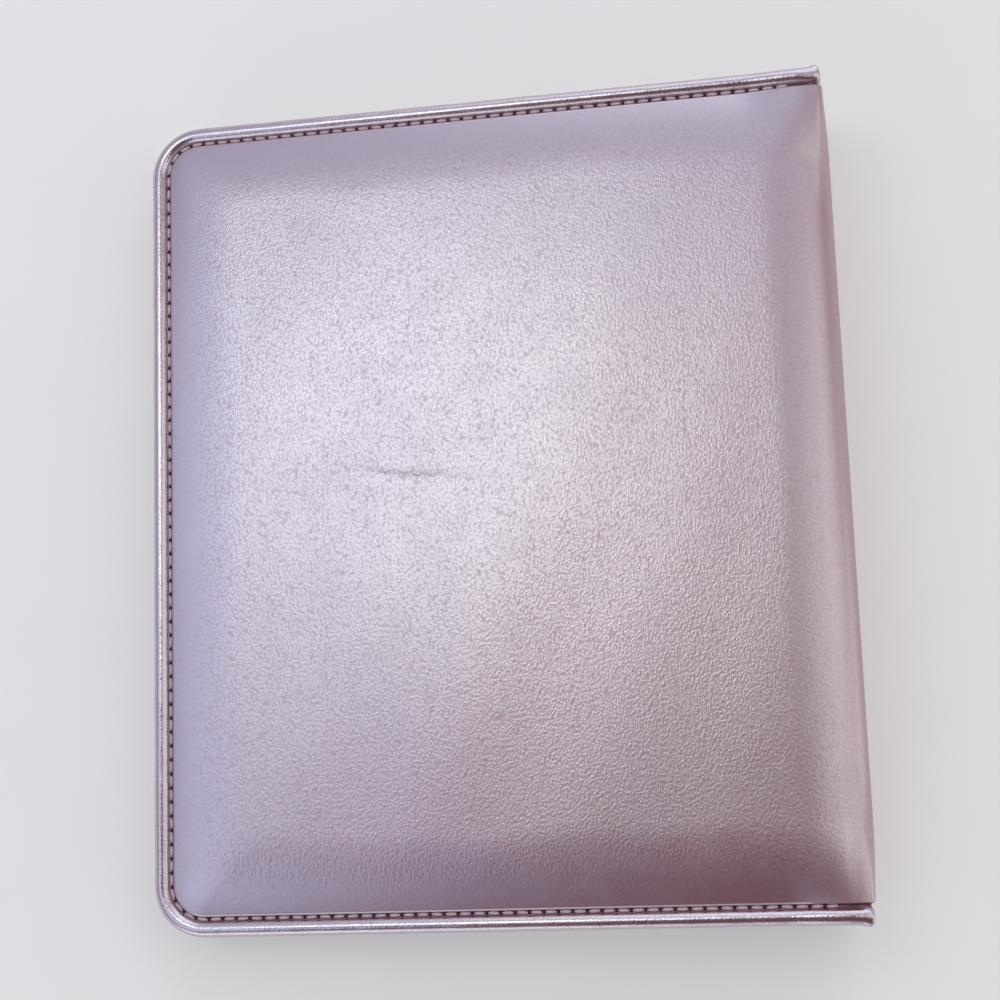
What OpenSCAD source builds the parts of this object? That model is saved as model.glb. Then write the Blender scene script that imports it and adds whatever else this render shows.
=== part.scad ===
// Closed ring planner: two padded leather covers on a spine, six rings, dividers and pages.
// It lies on its front cover, with the fore edge towards -X and the spine towards +X.
// Depths in a cover are counted from the outer face of its leather towards the inside.

/* [Covers] */
// Height of the covers, from tail to head
cover_h = 235; // [225:1:270]
// Width of a cover, from its fore edge to the outside of the spine
cover_w = 198; // [190:1:240]
// Outer radius of the two rounded corners at the fore edge
corner_r = 14.5; // [10:0.5:24]
// Space between the lining and the centre of the fold beside the spine
fold_room = 1.8; // [0.8:0.2:4]

/* [Layers] */
// Thickness of the outer leather
leather_t = 1.2; // [0.8:0.1:2]
// Thickness of the foam padding away from the edges
foam_t = 2.4; // [1.2:0.2:3.6]
// Thickness of the stiffening board
board_t = 2; // [1.6:0.1:3]
// Thickness of the lining
lining_t = 0.6; // [0.4:0.1:1]
// Thickness of a pocket panel
pocket_t = 0.6; // [0.4:0.1:1]
// Width of a pocket panel, from the fore edge of the board
pocket_w = 104; // [70:1:120]

/* [Edges] */
// Diameter of the rolled edge
roll_d = 4.5; // [3.5:0.25:5.5]
// Diameter of the sewing thread
thread_d = 0.8; // [0.5:0.1:1.2]
// Clearance on each side of the thread's groove
edge_play = 0.1; // [0.05:0.05:0.3]
// Width of the sloping border between the seam and the flat of the padding
crown_w = 14; // [8:1:20]
// Smallest corner radius of the flat of the padding
crown_r = 6; // [3:0.5:9]
// Distance from the fold to the end of the sewing
stitch_stop = 4; // [2:0.5:8]

/* [Rings] */
// Inside diameter of a ring
ring_d = 20; // [18:0.5:30]
// Diameter of the ring wire
wire_d = 2.6; // [2:0.1:3.2]
// Distance between neighbouring rings in a group of three
ring_pitch = 19; // [14:0.5:22]
// Distance between the inner rings of the two groups
ring_split = 70; // [60:1:74]
// Gap between the tips of a closed ring
tip_gap = 0.1; // [0.05:0.05:0.3]
// Angle through which each half of the rings swings open
leaf_swing = 12; // [8:0.5:14]
// Clearance between an open ring and the cover
ring_play = 0.9; // [0.5:0.1:3]

/* [Ring mechanism] */
// Width of the casing across the spine
casing_w = 23; // [22:0.5:26]
// Height of the casing
casing_h = 8; // [7.5:0.25:10]
// Distance that the casing reaches past the last ring at each end
casing_over = 17; // [15:0.5:22]
// Thickness of the casing's sheet steel
sheet_t = 0.8; // [0.6:0.1:1]
// Thickness of the leaves inside the casing
leaf_t = 0.8; // [0.6:0.1:1]
// Height of the leaf pivots over the lining
pivot_h = 2.4; // [2.2:0.1:3]
// Clearance between a leaf's edge and the casing
leaf_play = 0.18; // [0.1:0.02:0.4]
// Distance from a leaf pivot to its ring pegs
peg_in = 1.6; // [1.2:0.1:2.4]
// Diameter of the peg that holds a half ring in its leaf
peg_d = 1.6; // [1.2:0.1:2]
// Clearance round a peg, a pin or a rivet
pin_play = 0.05; // [0.03:0.01:0.15]
// Distance from the middle of the casing to a rivet
rivet_y = 20; // [10:1:28]
// Diameter of a rivet shank
rivet_d = 3; // [2:0.2:4]
// Height of a rivet's domed head
head_h = 1.2; // [0.8:0.1:1.8]

/* [Levers] */
// Distance from the end of the casing to a lever pin
lever_in = 6; // [5:0.5:8]
// Height of the lever pins over the lining
lever_h = 3.6; // [3.2:0.1:4.2]
// Diameter of a lever pin
pin_d = 1.8; // [1.4:0.1:2.2]
// Width of a lever's thumb tab
tab_w = 9; // [6:0.5:10]
// Length of a lever from its pin to the end of its tab
tab_l = 13.5; // [11:0.5:16]
// Thickness of a lever's thumb tab
tab_t = 1.3; // [1:0.1:1.8]
// Height of the end of the tab over the pin
tab_rise = 6; // [4:0.5:7]
// Length of the lever's nose from the pin
nose_l = 6.5; // [5:0.25:8]
// Thickness of the lever's nose
nose_t = 0.7; // [0.5:0.05:0.8]
// Width of the lever's nose
nose_w = 3; // [2:0.5:4]

/* [Pages] */
// Width of a page
page_w = 148; // [140:1:160]
// Height of a page
page_h = 210; // [200:1:220]
// Thickness of the pages and dividers on each side of the middle
pack_t = 4; // [3:0.2:5]
// Distance from the middle of the rings to the first sheet on each side
pack_gap = 0.2; // [0.1:0.05:0.4]
// Thickness of a divider
divider_t = 0.4; // [0.2:0.05:0.6]
// Diameter of a punched hole
hole_d = 6.4; // [6:0.1:7]
// Distance from the inner edge of a page to the middle of its holes
hole_in = 6; // [5:0.25:7]
// Distance of a hole's middle outside the wire that it holds
hole_shift = 0.55; // [0.4:0.05:0.7]
// Clearance between the pages and the pockets at the fore edge
page_play = 0.35; // [0.2:0.05:1]
// Length of a divider's tab
tab_len = 44; // [30:1:60]
// Distance that a tab stands out of the pages
tab_out = 7; // [4:0.5:9]

/* [Hidden] */
$fn = 64;
// Thickness of the thin slices under the crown, how many there are, and how steeply it drops
skin = 0.01;
crown_steps = 6;
crown_power = 1.5;
// Overshoot of a cutting shape
over_cut = 1;

// Depths and insets of the layers
roll_r = roll_d / 2;
panel_t = leather_t + foam_t + board_t + lining_t;
board_c = leather_t + foam_t;
lining_c = board_c + board_t;
roll_c = panel_t - roll_r;
thread_c = board_c - thread_d / 2;
board_in = roll_d + edge_play;
thread_in = board_in + thread_d / 2;
seam_in = board_in + thread_d + edge_play;

// The folds between the covers and the spine
fold_r = panel_t + fold_room;
cover_l = cover_w - fold_r;

// Leaf pivots and rings, seen along the spine: x across it and z away from it
wire_r = wire_d / 2;
ring_r = (ring_d + wire_d) / 2;
leaf_tilt = leaf_swing / 2;
arch_r = (pow(casing_w / 2, 2) + pow(casing_h, 2)) / (2 * casing_h);
arch_z = casing_h - arch_r;
arch_in = arch_r - sheet_t;
pivot_x = sqrt(pow(arch_in - leaf_play - leaf_t / 2, 2) - pow(pivot_h - arch_z, 2));
// Half of the gap between the two leaves
leaf_gap = 0.25;
leaf_w = pivot_x - leaf_gap;
foot_x = pivot_x - peg_in * cos(leaf_tilt) - leaf_t / 2 * sin(leaf_tilt);
foot_z = pivot_h - peg_in * sin(leaf_tilt) + leaf_t / 2 * cos(leaf_tilt);
ring_z = foot_z + sqrt(pow(ring_r, 2) - pow(foot_x, 2));
foot_angle = atan2(foot_z - ring_z, foot_x);
// Angle by which the wire is drawn too long at its foot, before it is cut flat on the leaf
foot_run = 20;
tip_angle = 90 - asin(tip_gap / 2 / ring_r);
ring_ys = [for (s = [-1, 1]) for (k = [0:2]) s * (ring_split / 2 + k * ring_pitch)];
ring_count = len(ring_ys);
casing_l = 2 * (max(ring_ys) + casing_over);

// The ring's middle and its reach across the spine when the rings are open
open_x = pivot_x * (1 - cos(leaf_swing)) + (ring_z - pivot_h) * sin(leaf_swing);
open_z = pivot_h + pivot_x * sin(leaf_swing) + (ring_z - pivot_h) * cos(leaf_swing);
ring_reach = open_x + ring_r + wire_r;

// The notch in the casing for a ring, from where the wire's inner side passes the arch
notch_play = 0.55;
notch_h = (pow(arch_r, 2) - pow(ring_r - wire_r, 2) + pow(ring_z - arch_z, 2)) / (2 * (ring_z - arch_z));
notch_x = sqrt(pow(arch_r, 2) - pow(notch_h, 2)) - notch_play;
notch_w = wire_d + 2 * notch_play;

// Length of the spine between its folds, and the lean of the spine that closes the covers on the pages
pack_half = pack_gap + pack_t;
page_end = ring_z + ring_r + hole_shift - hole_in + page_w - fold_room;
page_lift = pack_half + page_play + pocket_t - fold_room;
open_end = open_z - fold_room;
half_spine = (ring_reach + ring_play - fold_room - page_lift * open_end / page_end)
    / (1 - open_end / page_end);
spine_l = 2 * half_spine;
lean = atan((half_spine - page_lift) / page_end);
fold_turn = 90 + lean;

// Place of the front fold, which centres the closed planner on the origin
back_reach = spine_l * sin(lean) + (fold_r - roll_c) * sin(2 * lean)
    + (cover_l - roll_r) * cos(2 * lean) + roll_r;
fold_x = (max(back_reach, cover_l) - fold_r) / 2;

// Levers: wall round the pin, and clearances of the nose over the lining and under the leaves
lever_y = casing_l / 2 - lever_in;
hub_t = 0.8;
hub_r = pin_d / 2 + hub_t;
nose_seat = 0.12;
nose_room = 0.75;
leaf_l = 2 * (lever_y - nose_l / 2 - nose_room);

// Rivets: the head and the tail stand out of the shank by the same amount
rivet_r = rivet_d / 2;
head_out = 1.5;
head_r = rivet_r + head_out;
head_ball = (pow(head_r, 2) + pow(head_h, 2)) / (2 * head_h);
tail_t = 0.6;
rivet_room = 0.8;

// Sheets on each side, counted from the middle outwards: node name and whether it is a divider
front_sheets = [["pages_2", false], ["divider_1", true], ["pages_1", false]];
back_sheets = [["divider_2", true], ["pages_3", false], ["divider_3", true], ["pages_4", false]];
// The first and the last tab stand a sixth of their length in from the corners of the page
tab_far = page_h / 2 - tab_len / 2 - tab_len / 6;
tab_ys = [tab_far, 0, -tab_far];

// Colours
leather_color = [0.83, 0.79, 0.84];
roll_color = [0.80, 0.76, 0.81];
thread_color = [0.60, 0.47, 0.53];
foam_color = [0.93, 0.91, 0.86];
board_color = [0.55, 0.52, 0.48];
lining_color = [0.78, 0.70, 0.75];
steel_color = [0.80, 0.81, 0.83];
paper_color = [0.96, 0.95, 0.91];
divider_color = [0.86, 0.74, 0.78];

COVERS = ["front", "back"];
PANELS = ["leather", "foam", "board", "lining", "pocket", "edge_roll", "stitching"];
SPINE = ["spine_leather", "spine_foam", "spine_board", "spine_lining", "spine_rolls", "spine_stitching"];
FOLDS = ["fold", "fold_lining", "fold_rolls"];
MECHANISM = ["ring_casing", "rivets", "lever_pins", "upper_lever", "lower_lever"];

// Depth of the outer face at a step of the crown, from the seam to the flat of the padding
function crown_c(k) = foam_t * pow(1 - k / crown_steps, crown_power);

// Half height of a panel at a step of the crown
function crown_y(k, shift) = cover_h / 2 - seam_in - shift - crown_w * k / crown_steps;

// Outer line of a panel from tail to head, as distance from the centre of the fold and height
function crown_line(shift, depth) = concat(
    [for (k = [0:crown_steps]) [fold_r - depth - crown_c(k), -crown_y(k, shift)]],
    [for (k = [crown_steps:-1:0]) [fold_r - depth - crown_c(k), crown_y(k, shift)]]
);

// A band of even thickness under the outer face
function band(depth, t) = concat(
    crown_line(0, depth),
    [for (p = crown_line(0, depth + t)) [p.x, -p.y]]
);

// Frames: the front cover lies flat, the spine leans over it, and the back cover leans as much again
module front_frame() {
    translate([fold_x, 0, 0]) children();
}

module spine_frame() {
    translate([fold_x, 0, fold_r]) rotate([0, -lean, 0]) children();
}

module back_frame() {
    spine_frame() translate([0, 0, spine_l]) rotate([0, -lean, 0])
        rotate([180, 0, 0]) translate([0, 0, -fold_r]) children();
}

module cover_frame(cover) {
    if (cover == "front") front_frame() children();
    else back_frame() children();
}

// Ring frame: x across the spine, z from the lining towards the fore edge
module ring_frame() {
    spine_frame() translate([fold_r - panel_t, 0, half_spine]) rotate([0, -90, 0]) children();
}

// Mirrors the back half of the mechanism to the front half
module half_frame(cover) {
    ring_frame() mirror([cover == "front" ? 1 : 0, 0, 0]) children();
}

module leaf_frame() {
    translate([pivot_x, 0, pivot_h]) rotate([0, -leaf_tilt, 0]) children();
}

// Turns a shape about the centre of a fold, from the cover to the spine or on from it
module fold_sweep(cover) {
    at = cover == "front" ? 0 : spine_l;
    start = cover == "front" ? -fold_turn : 0;
    spine_frame() translate([0, 0, at]) rotate([90, 0, 0]) rotate([0, 0, start])
        rotate_extrude(angle = fold_turn) children();
}

// Outline of a cover, square at the fold and round at the fore edge
module outline(inset, r) {
    left = inset - cover_l;
    half = cover_h / 2 - inset;
    translate([left + r, -half]) square([-left - r, 2 * half]);
    translate([left, r - half]) square([2 * r, 2 * (half - r)]);
    for (s = [-1, 1]) translate([left + r, s * (half - r)]) circle(r);
}

module slab(inset, depth, t) {
    translate([0, 0, depth]) linear_extrude(t) outline(inset, max(corner_r - inset, crown_r), $fn = 32);
}

// Crowned solid down to the board, its foot reaching past the board's face by foot
module crown(shift, foot) {
    hull() {
        for (k = [0:crown_steps])
            slab(seam_in + shift + crown_w * k / crown_steps,
                min(shift + crown_c(k), board_c - skin), skin);
        slab(seam_in + shift, board_c - skin, skin + foot);
    }
}

// Round rod along the tail, the fore edge and the head of a cover
module edge_rod(inset, depth, d, stop) {
    bend_x = corner_r - cover_l;
    bend_y = cover_h / 2 - corner_r;
    translate([inset - cover_l, -bend_y, depth]) rotate([-90, 0, 0]) cylinder(d = d, h = 2 * bend_y);
    for (s = [-1, 1]) {
        translate([bend_x, s * (cover_h / 2 - inset), depth]) rotate([0, 90, 0])
            cylinder(d = d, h = -bend_x - stop);
        translate([bend_x, s * bend_y, depth]) rotate([0, 0, s > 0 ? 90 : 180])
            rotate_extrude(angle = 90) translate([corner_r - inset, 0]) circle(d = d);
    }
}

module cover_leather(cover) {
    color(leather_color) cover_frame(cover) difference() {
        crown(0, 0);
        crown(leather_t, over_cut);
    }
}

module cover_foam(cover) {
    color(foam_color) cover_frame(cover) crown(leather_t, 0);
}

module cover_board(cover) {
    color(board_color) cover_frame(cover) translate([0, 0, board_c])
        linear_extrude(board_t) outline(board_in, corner_r - board_in);
}

module cover_lining(cover) {
    color(lining_color) cover_frame(cover) translate([0, 0, lining_c])
        linear_extrude(lining_t) outline(board_in, corner_r - board_in);
}

module cover_pocket(cover) {
    color(lining_color) cover_frame(cover) translate([0, 0, panel_t]) linear_extrude(pocket_t)
        intersection() {
            outline(board_in, corner_r - board_in);
            translate([board_in - cover_l, -cover_h / 2]) square([pocket_w, cover_h]);
        }
}

module cover_edge_roll(cover) {
    color(roll_color) cover_frame(cover) edge_rod(roll_r, roll_c, roll_d, 0);
}

module cover_stitching(cover) {
    color(thread_color) cover_frame(cover) edge_rod(thread_in, thread_c, thread_d, stitch_stop);
}

module spine_leather() {
    color(leather_color) spine_frame() linear_extrude(spine_l) polygon(band(0, leather_t));
}

module spine_foam() {
    foam_line = crown_line(leather_t, leather_t);
    color(foam_color) spine_frame() linear_extrude(spine_l) polygon(foam_line);
}

// Layer of the spine at a depth, the height of the board
module spine_layer(depth, t) {
    spine_frame() translate([fold_r - depth - t, board_in - cover_h / 2, 0])
        cube([t, cover_h - 2 * board_in, spine_l]);
}

module rivet_bores() {
    ring_frame() for (s = [-1, 1]) translate([0, s * rivet_y, -panel_t])
        cylinder(r = rivet_r + pin_play, h = panel_t + 2 * casing_h);
}

module spine_board() {
    color(board_color) difference() {
        spine_layer(board_c, board_t);
        rivet_bores();
        ring_frame() for (s = [-1, 1]) translate([0, s * rivet_y, -lining_t - board_t - over_cut])
            cylinder(r = head_r + pin_play, h = tail_t + over_cut);
    }
}

module spine_lining() {
    color(lining_color) difference() {
        spine_layer(lining_c, lining_t);
        rivet_bores();
    }
}

module spine_rods(inset, depth, d, stop) {
    spine_frame() for (s = [-1, 1]) translate([fold_r - depth, s * (cover_h / 2 - inset), stop])
        cylinder(d = d, h = spine_l - 2 * stop);
}

module spine_rolls() {
    color(roll_color) spine_rods(roll_r, roll_c, roll_d, 0);
}

module spine_stitching() {
    color(thread_color) spine_rods(thread_in, thread_c, thread_d, stitch_stop);
}

module fold(cover) {
    color(leather_color) fold_sweep(cover) polygon(band(0, leather_t));
}

module fold_lining(cover) {
    color(lining_color) fold_sweep(cover) polygon(band(leather_t, lining_t));
}

module fold_rolls(cover) {
    color(roll_color) for (s = [-1, 1]) fold_sweep(cover)
        translate([fold_r - roll_c, s * (cover_h / 2 - roll_r)]) circle(d = roll_d);
}

module arch() {
    intersection() {
        difference() {
            translate([0, arch_z]) circle(arch_r);
            translate([0, arch_z]) circle(arch_in);
        }
        translate([-casing_w / 2, 0]) square([casing_w, casing_h]);
    }
}

module lever_pin(r) {
    for (s = [-1, 1]) translate([-casing_w / 2, s * lever_y, lever_h]) rotate([0, 90, 0])
        cylinder(r = r, h = casing_w);
}

module ring_casing() {
    color(steel_color) difference() {
        ring_frame() translate([0, casing_l / 2, 0]) rotate([90, 0, 0]) linear_extrude(casing_l) arch();
        for (cover = COVERS) half_frame(cover) for (y = ring_ys)
            translate([notch_x, y - notch_w / 2, -over_cut])
                cube([casing_w, notch_w, notch_h + arch_z + 2 * over_cut]);
        ring_frame() lever_pin(pin_d / 2);
        rivet_bores();
    }
}

module lever_pins() {
    color(steel_color) ring_frame() intersection() {
        lever_pin(pin_d / 2);
        translate([0, casing_l / 2, arch_z]) rotate([90, 0, 0]) cylinder(r = arch_r, h = casing_l);
    }
}

module rivets() {
    color(steel_color) ring_frame() for (s = [-1, 1]) translate([0, s * rivet_y, 0]) {
        translate([0, 0, -lining_t - board_t]) cylinder(r = rivet_r, h = lining_t + board_t + casing_h);
        translate([0, 0, -lining_t - board_t]) cylinder(r = head_r, h = tail_t);
        intersection() {
            translate([0, 0, casing_h + head_h - head_ball]) sphere(head_ball);
            translate([0, 0, casing_h]) cylinder(r = head_r + over_cut, h = head_h + over_cut);
        }
    }
}

module leaf(cover) {
    color(steel_color) half_frame(cover) difference() {
        leaf_frame() {
            translate([-leaf_w, -leaf_l / 2, -leaf_t / 2]) cube([leaf_w, leaf_l, leaf_t]);
            translate([0, -leaf_l / 2, 0]) rotate([-90, 0, 0]) cylinder(d = leaf_t, h = leaf_l);
        }
        leaf_frame() for (y = ring_ys) translate([-peg_in, y, -leaf_t])
            cylinder(d = peg_d + 2 * pin_play, h = 2 * leaf_t);
        for (s = [-1, 1]) translate([0, s * rivet_y, -over_cut])
            cylinder(r = rivet_r + rivet_room, h = casing_h);
    }
}

module half_ring(cover, y) {
    color(steel_color) half_frame(cover) {
        difference() {
            translate([0, y, ring_z]) rotate([90, 0, 0]) rotate([0, 0, foot_angle - foot_run])
                rotate_extrude(angle = tip_angle - foot_angle + foot_run)
                    translate([ring_r, 0]) circle(wire_r);
            leaf_frame() translate([-casing_w / 2, y - wire_d, leaf_t / 2 - casing_h])
                cube([casing_w, 2 * wire_d, casing_h]);
        }
        leaf_frame() translate([-peg_in, y, -leaf_t / 2]) cylinder(d = peg_d, h = leaf_t + wire_r);
    }
}

// Lever seen along its pin, as distance from the pin along the spine and height over the pin
module lever() {
    floor_z = nose_seat - lever_h;
    nose = [[-nose_l, floor_z], [-nose_l / 2, floor_z], [0, -hub_r], [0, 0], [-hub_r, 0],
        [-nose_l / 2, floor_z + nose_t], [-nose_l, floor_z + nose_t]];
    bend = lever_in + hub_r / 4;
    root = hub_r / 2;
    tab = [[0, -root], [bend, 0], [tab_l, tab_rise - tab_t], [tab_l - tab_t, tab_rise],
        [bend - tab_t / 2, tab_t], [0, root]];
    color(steel_color) difference() {
        translate([0, lever_y, lever_h]) rotate([90, 0, 90]) {
            translate([0, 0, -nose_w / 2]) linear_extrude(nose_w) polygon(nose);
            translate([0, 0, -tab_w / 2]) linear_extrude(tab_w) polygon(tab);
            translate([0, 0, -tab_w / 2]) cylinder(r = hub_r, h = tab_w);
        }
        lever_pin(pin_d / 2 + pin_play);
    }
}

module upper_lever() {
    ring_frame() lever();
}

module lower_lever() {
    ring_frame() mirror([0, 1, 0]) lever();
}

// Sheets of one side from the middle outwards: thickness, place and outline of each
function count(list, k) = k < 0 ? 0 : count(list, k - 1) + (list[k][1] ? 1 : 0);
function dividers(list) = count(list, len(list) - 1);
function section_t(list) = (pack_t - divider_t * dividers(list)) / (len(list) - dividers(list));
function sheet_t_of(list, k) = list[k][1] ? divider_t : section_t(list);
function sheet_from(list, k) = k == 0 ? pack_gap : sheet_from(list, k - 1) + sheet_t_of(list, k - 1);

module sheet(list, k, tab) {
    t = sheet_t_of(list, k);
    from = sheet_from(list, k);
    hole_z = ring_z + sqrt(pow(ring_r, 2) - pow(from + t / 2, 2)) + hole_shift;
    translate([from + t, 0, 0]) rotate([0, -90, 0]) linear_extrude(t) difference() {
        union() {
            translate([hole_z - hole_in, -page_h / 2]) square([page_w, page_h]);
            if (list[k][1])
                translate([hole_z - hole_in, tab_ys[tab] - tab_len / 2])
                    square([page_w + tab_out, tab_len]);
        }
        for (y = ring_ys) translate([hole_z, y]) circle(d = hole_d);
    }
}

module sheets(cover, list, first_tab) {
    for (k = [0:len(list) - 1])
        color(list[k][1] ? divider_color : paper_color)
                half_frame(cover) sheet(list, k, first_tab + count(list, k) - 1);
}

for (cover = COVERS) {
    cover_leather(cover);
    cover_foam(cover);
    cover_board(cover);
    cover_lining(cover);
    cover_pocket(cover);
    cover_edge_roll(cover);
    cover_stitching(cover);
    fold(cover);
    fold_lining(cover);
    fold_rolls(cover);
    leaf(cover);
    for (k = [1:ring_count])
        half_ring(cover, ring_ys[k - 1]);
}
spine_leather();
spine_foam();
spine_board();
spine_lining();
spine_rolls();
spine_stitching();
ring_casing();
rivets();
lever_pins();
upper_lever();
lower_lever();
sheets("front", front_sheets, 0);
sheets("back", back_sheets, 1);
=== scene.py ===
import math
import bmesh
import bpy
import numpy as np
from mathutils import Matrix, Vector


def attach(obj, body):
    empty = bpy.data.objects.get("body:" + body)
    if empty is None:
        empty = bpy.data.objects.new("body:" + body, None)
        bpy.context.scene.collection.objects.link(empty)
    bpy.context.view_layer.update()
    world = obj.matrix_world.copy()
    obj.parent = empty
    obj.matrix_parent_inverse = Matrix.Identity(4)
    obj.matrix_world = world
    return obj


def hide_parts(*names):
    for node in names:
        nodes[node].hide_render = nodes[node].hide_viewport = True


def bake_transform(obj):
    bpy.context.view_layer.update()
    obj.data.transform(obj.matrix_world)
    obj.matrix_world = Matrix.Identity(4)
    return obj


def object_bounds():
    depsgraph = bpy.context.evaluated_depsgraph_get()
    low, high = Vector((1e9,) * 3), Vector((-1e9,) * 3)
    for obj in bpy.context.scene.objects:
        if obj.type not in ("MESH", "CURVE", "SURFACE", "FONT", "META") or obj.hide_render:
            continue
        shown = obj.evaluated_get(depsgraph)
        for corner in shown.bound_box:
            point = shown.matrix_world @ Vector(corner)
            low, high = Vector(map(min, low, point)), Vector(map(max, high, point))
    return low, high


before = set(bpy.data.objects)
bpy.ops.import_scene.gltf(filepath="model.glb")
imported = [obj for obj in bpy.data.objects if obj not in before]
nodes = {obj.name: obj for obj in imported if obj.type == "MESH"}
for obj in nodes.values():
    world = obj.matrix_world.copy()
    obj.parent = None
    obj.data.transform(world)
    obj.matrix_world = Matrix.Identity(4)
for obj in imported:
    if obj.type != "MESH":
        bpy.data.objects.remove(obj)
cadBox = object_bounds()
scene = bpy.context.scene
scene.view_settings.view_transform = "Standard"
mm = 0.001

# main sizes of the planner, in metres, as its solids have them
planner = {
    "coverH": 0.235, "coverL": 0.190, "cornerR": 0.0145,
    "foldX": 0.0913941, "foldR": 0.008, "lean": math.radians(3.92048), "spineL": 0.02912,
    "boardDepth": 0.0036, "panelT": 0.0062, "rollR": 0.00225, "rollDepth": 0.00395,
}
covers = {"back": "back_cover", "front": "front_cover"}
halfH = planner["coverH"] / 2
foldTurn = math.pi / 2 + planner["lean"]
foldArc = planner["foldR"] * foldTurn
spineMid = foldArc + planner["spineL"] / 2
print("frame loaded:", len(nodes), "nodes")


class Wire:
    # one socket of a node tree; plain maths on it adds Math nodes
    def __init__(self, tree, socket=None):
        self.tree, self.socket = tree, socket

    def add(self, kind, settings=None, inputs=None, out=0):
        made = self.tree.nodes.new(kind)
        for name, value in (settings or {}).items():
            if name == "stops":
                fillRamp(made.color_ramp, value)
            else:
                setattr(made, name, value)
        for key, value in (inputs or {}).items():
            if isinstance(value, Wire):
                self.tree.links.new(value.socket, made.inputs[key])
            else:
                made.inputs[key].default_value = value
        return Wire(self.tree, made.outputs[out] if len(made.outputs) else None)

    def other(self, out):
        return Wire(self.tree, self.socket.node.outputs[out])

    def math(self, operation, a, b=0.0):
        return self.add("ShaderNodeMath", {"operation": operation}, {0: a, 1: b})

    def limit(self):
        return self.add("ShaderNodeClamp", {}, {"Value": self})

    def blend(self, a, b):
        return self.add("ShaderNodeMix", {"data_type": "RGBA"}, {0: self, 6: a, 7: b}, out=2)

    def within(self, low, high):
        return (self > low) * (self < high)

    def __add__(self, b):
        return self.math("ADD", self, b)

    def __radd__(self, b):
        return self.math("ADD", b, self)

    def __sub__(self, b):
        return self.math("SUBTRACT", self, b)

    def __rsub__(self, b):
        return self.math("SUBTRACT", b, self)

    def __mul__(self, b):
        return self.math("MULTIPLY", self, b)

    def __gt__(self, b):
        return self.math("GREATER_THAN", self, b)

    def __lt__(self, b):
        return self.math("LESS_THAN", self, b)


def fillRamp(ramp, stops):
    while len(ramp.elements) > len(stops):
        ramp.elements.remove(ramp.elements[-1])
    while len(ramp.elements) < len(stops):
        ramp.elements.new(0.5)
    for element, (at, color) in zip(ramp.elements, stops):
        element.position, element.color = at, color


def newMaterial(name):
    material = bpy.data.materials.new(name)
    material.use_nodes = True
    material.node_tree.nodes.clear()
    return material, Wire(material.node_tree)


def finishMaterial(wire, surface):
    wire.add("ShaderNodeOutputMaterial", {}, {"Surface": surface})


def principled(wire, inputs):
    return wire.add("ShaderNodeBsdfPrincipled", {}, inputs)


def objectPlace(wire):
    return wire.add("ShaderNodeTexCoord", out="Object")


def attribute(wire, name):
    return wire.add("ShaderNodeAttribute", {"attribute_name": name}, out="Fac")


def noise(wire, place, scale, detail=3.0, rough=0.5):
    return wire.add("ShaderNodeTexNoise", {}, {"Vector": place, "Scale": scale, "Detail": detail, "Roughness": rough})


def stretched(wire, place, turn, scale):
    return wire.add("ShaderNodeMapping", {}, {"Vector": place, "Rotation": turn, "Scale": scale})


def bumped(wire, height, distance, strength=1.0):
    return wire.add("ShaderNodeBump", {}, {"Height": height, "Distance": distance, "Strength": strength})


# pearl leather: a bright metallic film over a wine coloured skin, with a fine pebble grain
pearl = {
    "film": (0.74, 0.78, 0.88, 1), "filmWarm": (0.78, 0.79, 0.86, 1),
    # the groove's darkest wine and the film cut back in the groove are painted shade
    "skin": (0.37, 0.030, 0.052, 1), "skinDark": (0.29, 0.022, 0.040, 1), "grooveShade": (0.10, 0.014, 0.022, 1),
    "grainScale": 1 / (0.66 * mm), "grainHeight": 0.045 * mm, "slant": math.radians(32), "stretch": 0.74,
    "wanderScale": 420, "wander": 0.3 * mm, "fineScale": 2600, "broadScale": 14, "patchScale": 90,
    # the film cut back on the fold and the spine is painted shade
    "broadVary": 0.06, "patchRough": 0.08, "pitRough": 0.1, "pitBare": 0.17, "grooveShadeCut": 0.85, "foldSpineShadeCut": 0.3,
    "coat": 0.12, "coatRough": 0.25, "skinRough": 0.5, "skinSpecular": 0.25,
    "cover": {"filmShare": 0.62, "filmRough": 0.31},
    "roll": {"filmShare": 0.70, "filmRough": 0.23, "evenGrain": 0.6},
}


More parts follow.
